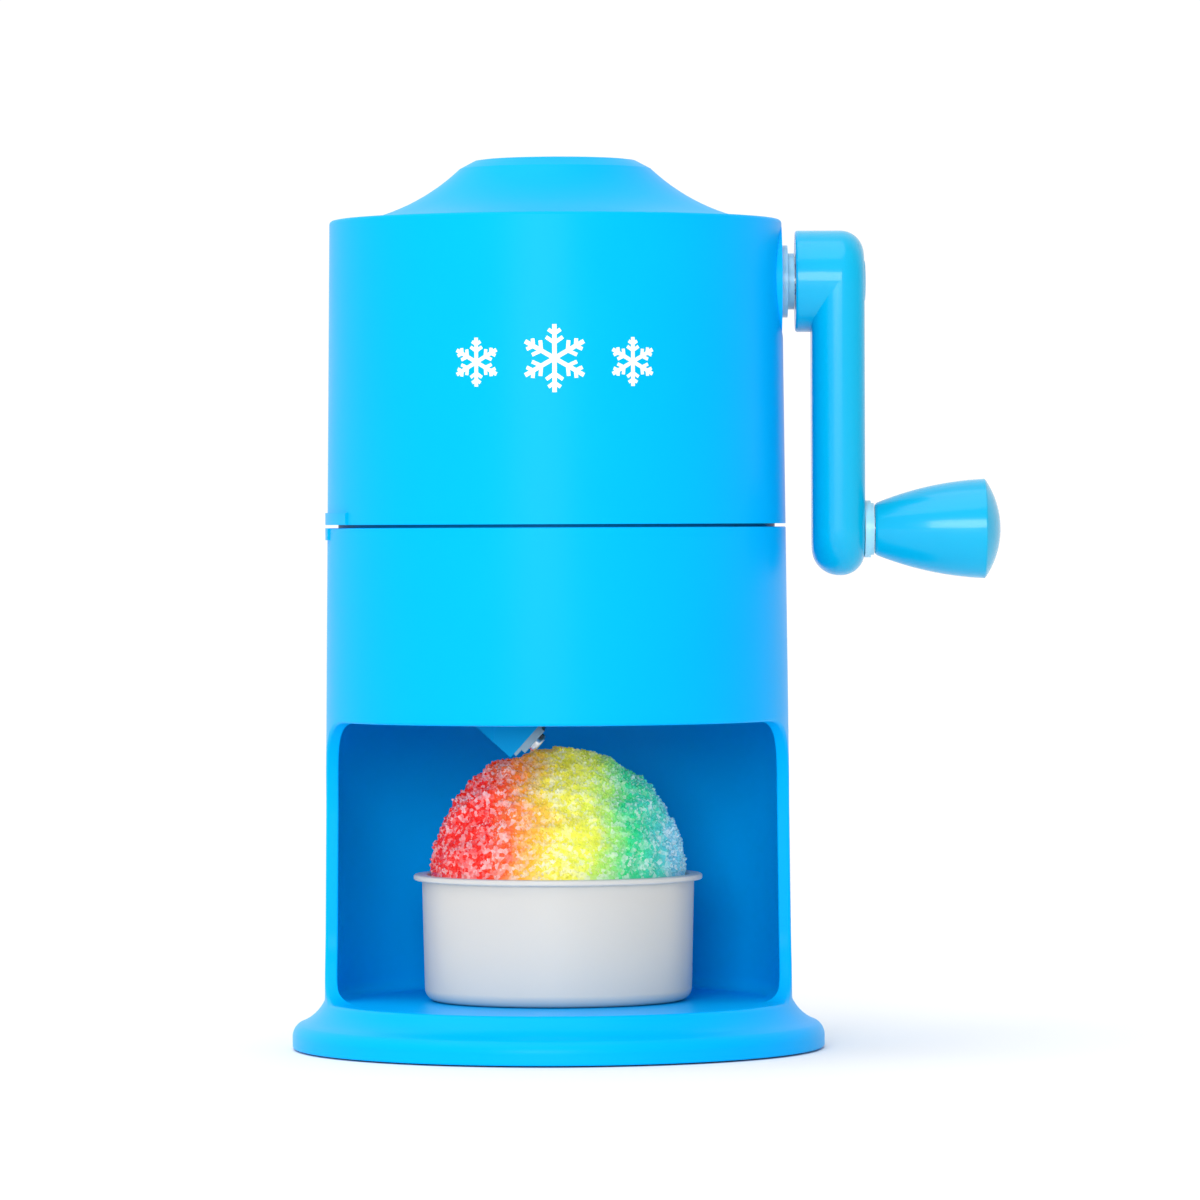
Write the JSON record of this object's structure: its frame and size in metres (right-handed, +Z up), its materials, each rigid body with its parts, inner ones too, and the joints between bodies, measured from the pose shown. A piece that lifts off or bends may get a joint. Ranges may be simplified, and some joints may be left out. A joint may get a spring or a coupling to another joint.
{
  "type": "hand-cranked shaved ice machine",
  "caption": "Round hand-cranked ice shaver with an open front bay, a lift-off geared head with a sprung press plate, a slanted blade, a side crank with a turning knob, and a cup of ice.",
  "frame": {"origin": "on the casing's axis, at the level of the surface it stands on", "axes": "+Z up; -Y the open front with the cup bay; +X the side of the crank"},
  "size_m": [0.2241, 0.168, 0.2801],
  "materials": {
    "casing_blue": "glossy moulded plastic, bright sky blue",
    "chamber_blue": "moulded plastic, a deeper blue",
    "clear_blue": "translucent pale blue plastic",
    "gear_white": "natural white acetal",
    "press_white": "white plastic",
    "cup_frost": "frosted translucent plastic",
    "ice": null,
    "blade_steel": "ground stainless steel",
    "shaft_steel": "turned steel",
    "spring_steel": "drawn spring wire",
    "screw_steel": "plated screws",
    "bronze": "sintered bronze",
    "foot_rubber": "soft dark rubber"
  },
  "bodies": {
    "base": {"lower_housing": "casing_blue", "foot_ring": "foot_rubber", "ice_hopper": "chamber_blue", "hopper_screws": "screw_steel", "blade_wedge": "chamber_blue", "blade": "blade_steel", "blade_clamp": "blade_steel", "blade_screws": "screw_steel"},
    "head": {"upper_housing": "casing_blue", "top_cap": "casing_blue", "cap_screws": "screw_steel", "gear_carrier": "chamber_blue", "carrier_screws": "screw_steel", "shaft_bearing": "bronze", "crank_bush": "clear_blue", "thrust_washer": "gear_white"},
    "crank": {"crank_shaft": "shaft_steel", "pinion_gear": "gear_white", "pinion_screw": "screw_steel", "shaft_clip": "shaft_steel", "crank_arm": "casing_blue", "crank_screw": "screw_steel", "screw_plug": "casing_blue", "knob_pin": "shaft_steel", "knob_bush": "clear_blue"},
    "knob": {"knob_grip": "casing_blue", "knob_cap": "casing_blue"},
    "drive": {"crown_gear": "gear_white", "gear_screws": "screw_steel", "drive_sleeve": "gear_white", "press_spring": "spring_steel"},
    "press": {"spindle": "shaft_steel", "press_plate": "press_white", "press_spikes": "shaft_steel", "stop_collar": "gear_white", "stop_screw": "screw_steel"},
    "cup": {"ice_cup": "cup_frost", "shaved_ice": "ice"}
  },
  "joints": [
    {"name": "head_lift", "type": "slide", "parent": "base", "child": "head", "axis": [0, 0, 1], "range_m": [0, 0.1]},
    {"name": "crank_spin", "type": "hinge", "parent": "head", "child": "crank", "pos_m": [0, 0, 0.2416], "axis": [1, 0, 0], "continuous": true},
    {"name": "drive_spin", "type": "hinge", "parent": "head", "child": "drive", "pos_m": [0, 0, 0.2], "axis": [0, 0, 1], "continuous": true},
    {"name": "press_slide", "type": "slide", "parent": "drive", "child": "press", "axis": [0, 0, 1], "range_m": [0, 0.042], "stiffness_N_per_m": 400, "springref_m": -0.02, "deforming": ["press_spring"]},
    {"name": "knob_spin", "type": "hinge", "parent": "crank", "child": "knob", "pos_m": [0.1, 0, 0.1634], "axis": [1, 0, 0], "continuous": true},
    {"name": "cup_slide", "type": "slide", "parent": "base", "child": "cup", "axis": [0, -1, 0], "range_m": [0, 0.135]}
  ],
  "couplings": [
    {"joint": "drive_spin", "follows": "crank_spin", "ratio": 0.66667}
  ]
}
